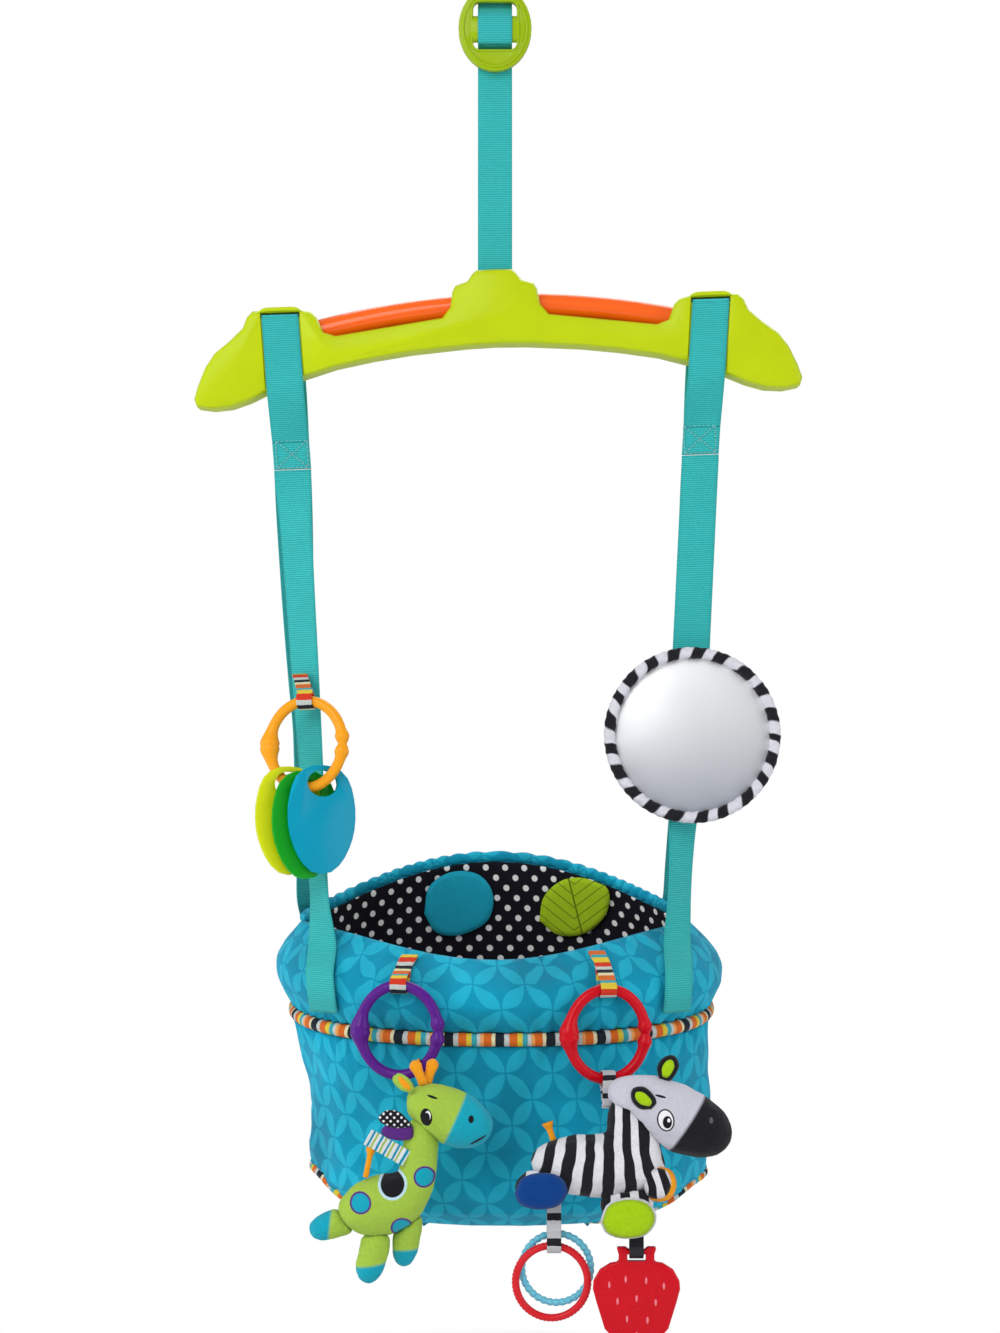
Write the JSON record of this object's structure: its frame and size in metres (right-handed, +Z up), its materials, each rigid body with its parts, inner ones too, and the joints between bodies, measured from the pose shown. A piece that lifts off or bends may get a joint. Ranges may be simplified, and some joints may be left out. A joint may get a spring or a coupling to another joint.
{
  "type": "baby doorway jumper",
  "caption": "Baby doorway jumper: a spring clamp for a door header, a bounce spring, adjustable webbing, a moulded cross-beam and a fabric seat with hanging soft toys, a mirror and teethers.",
  "frame": {"origin": "middle of the door clamp's grip, between its two pads", "axes": "+Z up, +X to the right in the picture, -Y towards the viewer; the child faces -Y"},
  "size_m": [0.4717, 0.3274, 1.5186],
  "materials": {
    "lime_plastic": "satin",
    "adjuster_plastic": "satin",
    "orange_grip": "satin",
    "grey_plastic": "satin",
    "black_rubber": "matte",
    "steel": "satin",
    "turquoise_webbing": "woven",
    "turquoise_print": "printed",
    "spotted_lining": "printed",
    "striped_ribbon": "striped",
    "orange_plastic": "gloss",
    "purple_plastic": "gloss",
    "red_plastic": "gloss",
    "yellow_plastic": "gloss",
    "green_plastic": "gloss",
    "blue_plastic": "gloss",
    "aqua_plastic": "gloss",
    "mirror_film": "polished",
    "mirror_trim": "striped plush",
    "lime_plush": "plush",
    "white_plush": "plush",
    "black_ribbon": "woven"
  },
  "bodies": {
    "clamp": {"clamp_arm_back": "lime_plastic", "clamp_pad_back": "black_rubber", "clamp_pin": "steel", "clamp_spring": "steel"},
    "clamp_front": {"clamp_arm_front": "lime_plastic", "clamp_pad_front": "black_rubber"},
    "yoke": {"clamp_yoke": "steel"},
    "swivel": {"spring_top_cap": "grey_plastic", "swivel_nut": "steel", "bounce_spring": "steel", "safety_tether": "turquoise_webbing"},
    "carrier": {"spring_bottom_cap": "grey_plastic", "loop_bar": "steel", "loop_strap": "turquoise_webbing"},
    "adjuster": {"adjuster_ring": "adjuster_plastic"},
    "hanger": {"hanger_strap": "turquoise_webbing"},
    "beam": {"beam_shell_front": "lime_plastic", "beam_shell_rear": "lime_plastic", "grip_bar": "orange_grip", "hub_pin": "steel", "side_loop_left": "turquoise_webbing", "side_loop_right": "turquoise_webbing"},
    "seat": {"seat_collar": "turquoise_print", "seat_panel": "turquoise_print", "seat_lining": "spotted_lining", "rim_binding": "turquoise_print", "waist_piping": "striped_ribbon", "leg_piping_left": "striped_ribbon", "leg_piping_right": "striped_ribbon", "strap_front_left": "turquoise_webbing", "strap_front_right": "turquoise_webbing", "strap_rear_left": "turquoise_webbing", "strap_rear_right": "turquoise_webbing", "tab_orange": "striped_ribbon", "tab_purple": "striped_ribbon", "tab_red": "striped_ribbon"},
    "mirror": {"mirror_frame": "mirror_trim", "mirror_glass": "mirror_film"},
    "orange_link": {"link_orange": "orange_plastic"},
    "discs": {"disc_yellow": "yellow_plastic", "disc_green": "green_plastic", "disc_blue": "blue_plastic"},
    "purple_link": {"link_purple": "purple_plastic"},
    "giraffe": {"giraffe_loop": "lime_plush", "giraffe_body": "lime_plush", "giraffe_head": "lime_plush", "giraffe_leg_rear": "lime_plush", "giraffe_leg_middle": "lime_plush", "giraffe_leg_front": "lime_plush"},
    "red_link": {"link_red": "red_plastic"},
    "zebra": {"zebra_loop": "white_plush", "zebra_body": "white_plush", "zebra_head": "white_plush", "zebra_leg_rear": "white_plush", "zebra_leg_front": "white_plush", "ribbon_rings": "black_ribbon", "ribbon_berry": "black_ribbon"},
    "red_ring": {"ring_red": "red_plastic"},
    "aqua_ring": {"ring_aqua": "aqua_plastic"},
    "berry_charm": {"berry": "red_plastic"}
  },
  "joints": [
    {"name": "clamp_open", "type": "hinge", "parent": "clamp", "child": "clamp_front", "pos_m": [0, 0, -0.14], "axis": [1, 0, 0], "range_deg": [0, 18], "stiffness_Nm_per_rad": 3, "springref_deg": -20.05},
    {"name": "yoke_swing", "type": "hinge", "parent": "clamp", "child": "yoke", "pos_m": [0, 0, -0.14], "axis": [1, 0, 0], "range_deg": [-20, 20]},
    {"name": "swivel_spin", "type": "hinge", "parent": "yoke", "child": "swivel", "pos_m": [0, 0, -0.174], "axis": [0, 0, 1], "continuous": true},
    {"name": "bounce", "type": "slide", "parent": "swivel", "child": "carrier", "axis": [0, 0, -1], "range_m": [0, 0.1], "stiffness_N_per_m": 800, "springref_m": -0.03, "deforming": ["bounce_spring", "safety_tether"]},
    {"name": "adjuster_slide", "type": "slide", "parent": "carrier", "child": "adjuster", "axis": [0, 0, -1], "range_m": [0, 0.05], "deforming": ["loop_strap"]},
    {"name": "height_slide", "type": "slide", "parent": "adjuster", "child": "hanger", "axis": [0, 0, 1], "range_m": [0, 0.1], "deforming": ["hanger_strap"]},
    {"name": "hub_pitch", "type": "hinge", "parent": "hanger", "child": "beam", "pos_m": [-0.00046, 0, -0.6996], "axis": [0.9993, 0, 0.0366], "range_deg": [-12, 12]},
    {"name": "seat_swing", "type": "hinge", "parent": "beam", "child": "seat", "pos_m": [0.00464, 0, -0.83852], "axis": [0.9993, 0, 0.0366], "range_deg": [-15, 15]},
    {"name": "mirror_slide", "type": "slide", "parent": "seat", "child": "mirror", "axis": [0.0544, 0.1252, 0.9906], "range_m": [0, 0.07]},
    {"name": "orange_link_swing", "type": "hinge", "parent": "seat", "child": "orange_link", "pos_m": [-0.144, -0.05327, -1.02445], "axis": [-0.9563, 0.2885, -0.0478], "range_deg": [0, 50]},
    {"name": "disc_swing", "type": "hinge", "parent": "orange_link", "child": "discs", "pos_m": [-0.144, -0.06364, -1.0871], "axis": [-0.799, 0.5993, -0.0499], "range_deg": [0, 10]},
    {"name": "purple_link_swing", "type": "hinge", "parent": "seat", "child": "purple_link", "pos_m": [-0.0716, -0.1077, -1.2365], "axis": [-0.9903, 0.1392, 0], "range_deg": [0, 50]},
    {"name": "giraffe_swing", "type": "hinge", "parent": "purple_link", "child": "giraffe", "pos_m": [-0.05526, -0.10999, -1.29777], "axis": [-0.7861, 0.1105, -0.6081], "range_deg": [0, 30]},
    {"name": "red_link_swing", "type": "hinge", "parent": "seat", "child": "red_link", "pos_m": [0.0842, -0.10567, -1.2396], "axis": [-0.9744, -0.225, 0], "range_deg": [0, 50]},
    {"name": "zebra_swing", "type": "hinge", "parent": "red_link", "child": "zebra", "pos_m": [0.0842, -0.10567, -1.3066], "axis": [-0.9744, -0.225, 0], "range_deg": [0, 40]},
    {"name": "red_ring_swing", "type": "hinge", "parent": "zebra", "child": "red_ring", "pos_m": [0.0419, -0.14765, -1.4241], "axis": [-1, 0, 0], "range_deg": [0, 45]},
    {"name": "aqua_ring_swing", "type": "hinge", "parent": "zebra", "child": "aqua_ring", "pos_m": [0.0454, -0.14145, -1.4162], "axis": [1, 0, 0], "range_deg": [0, 45]},
    {"name": "berry_swing", "type": "hinge", "parent": "zebra", "child": "berry_charm", "pos_m": [0.104, -0.1546, -1.427], "axis": [-1, 0, 0], "range_deg": [0, 45]}
  ],
  "couplings": [
    {"joint": "height_slide", "follows": "adjuster_slide", "ratio": 2}
  ]
}
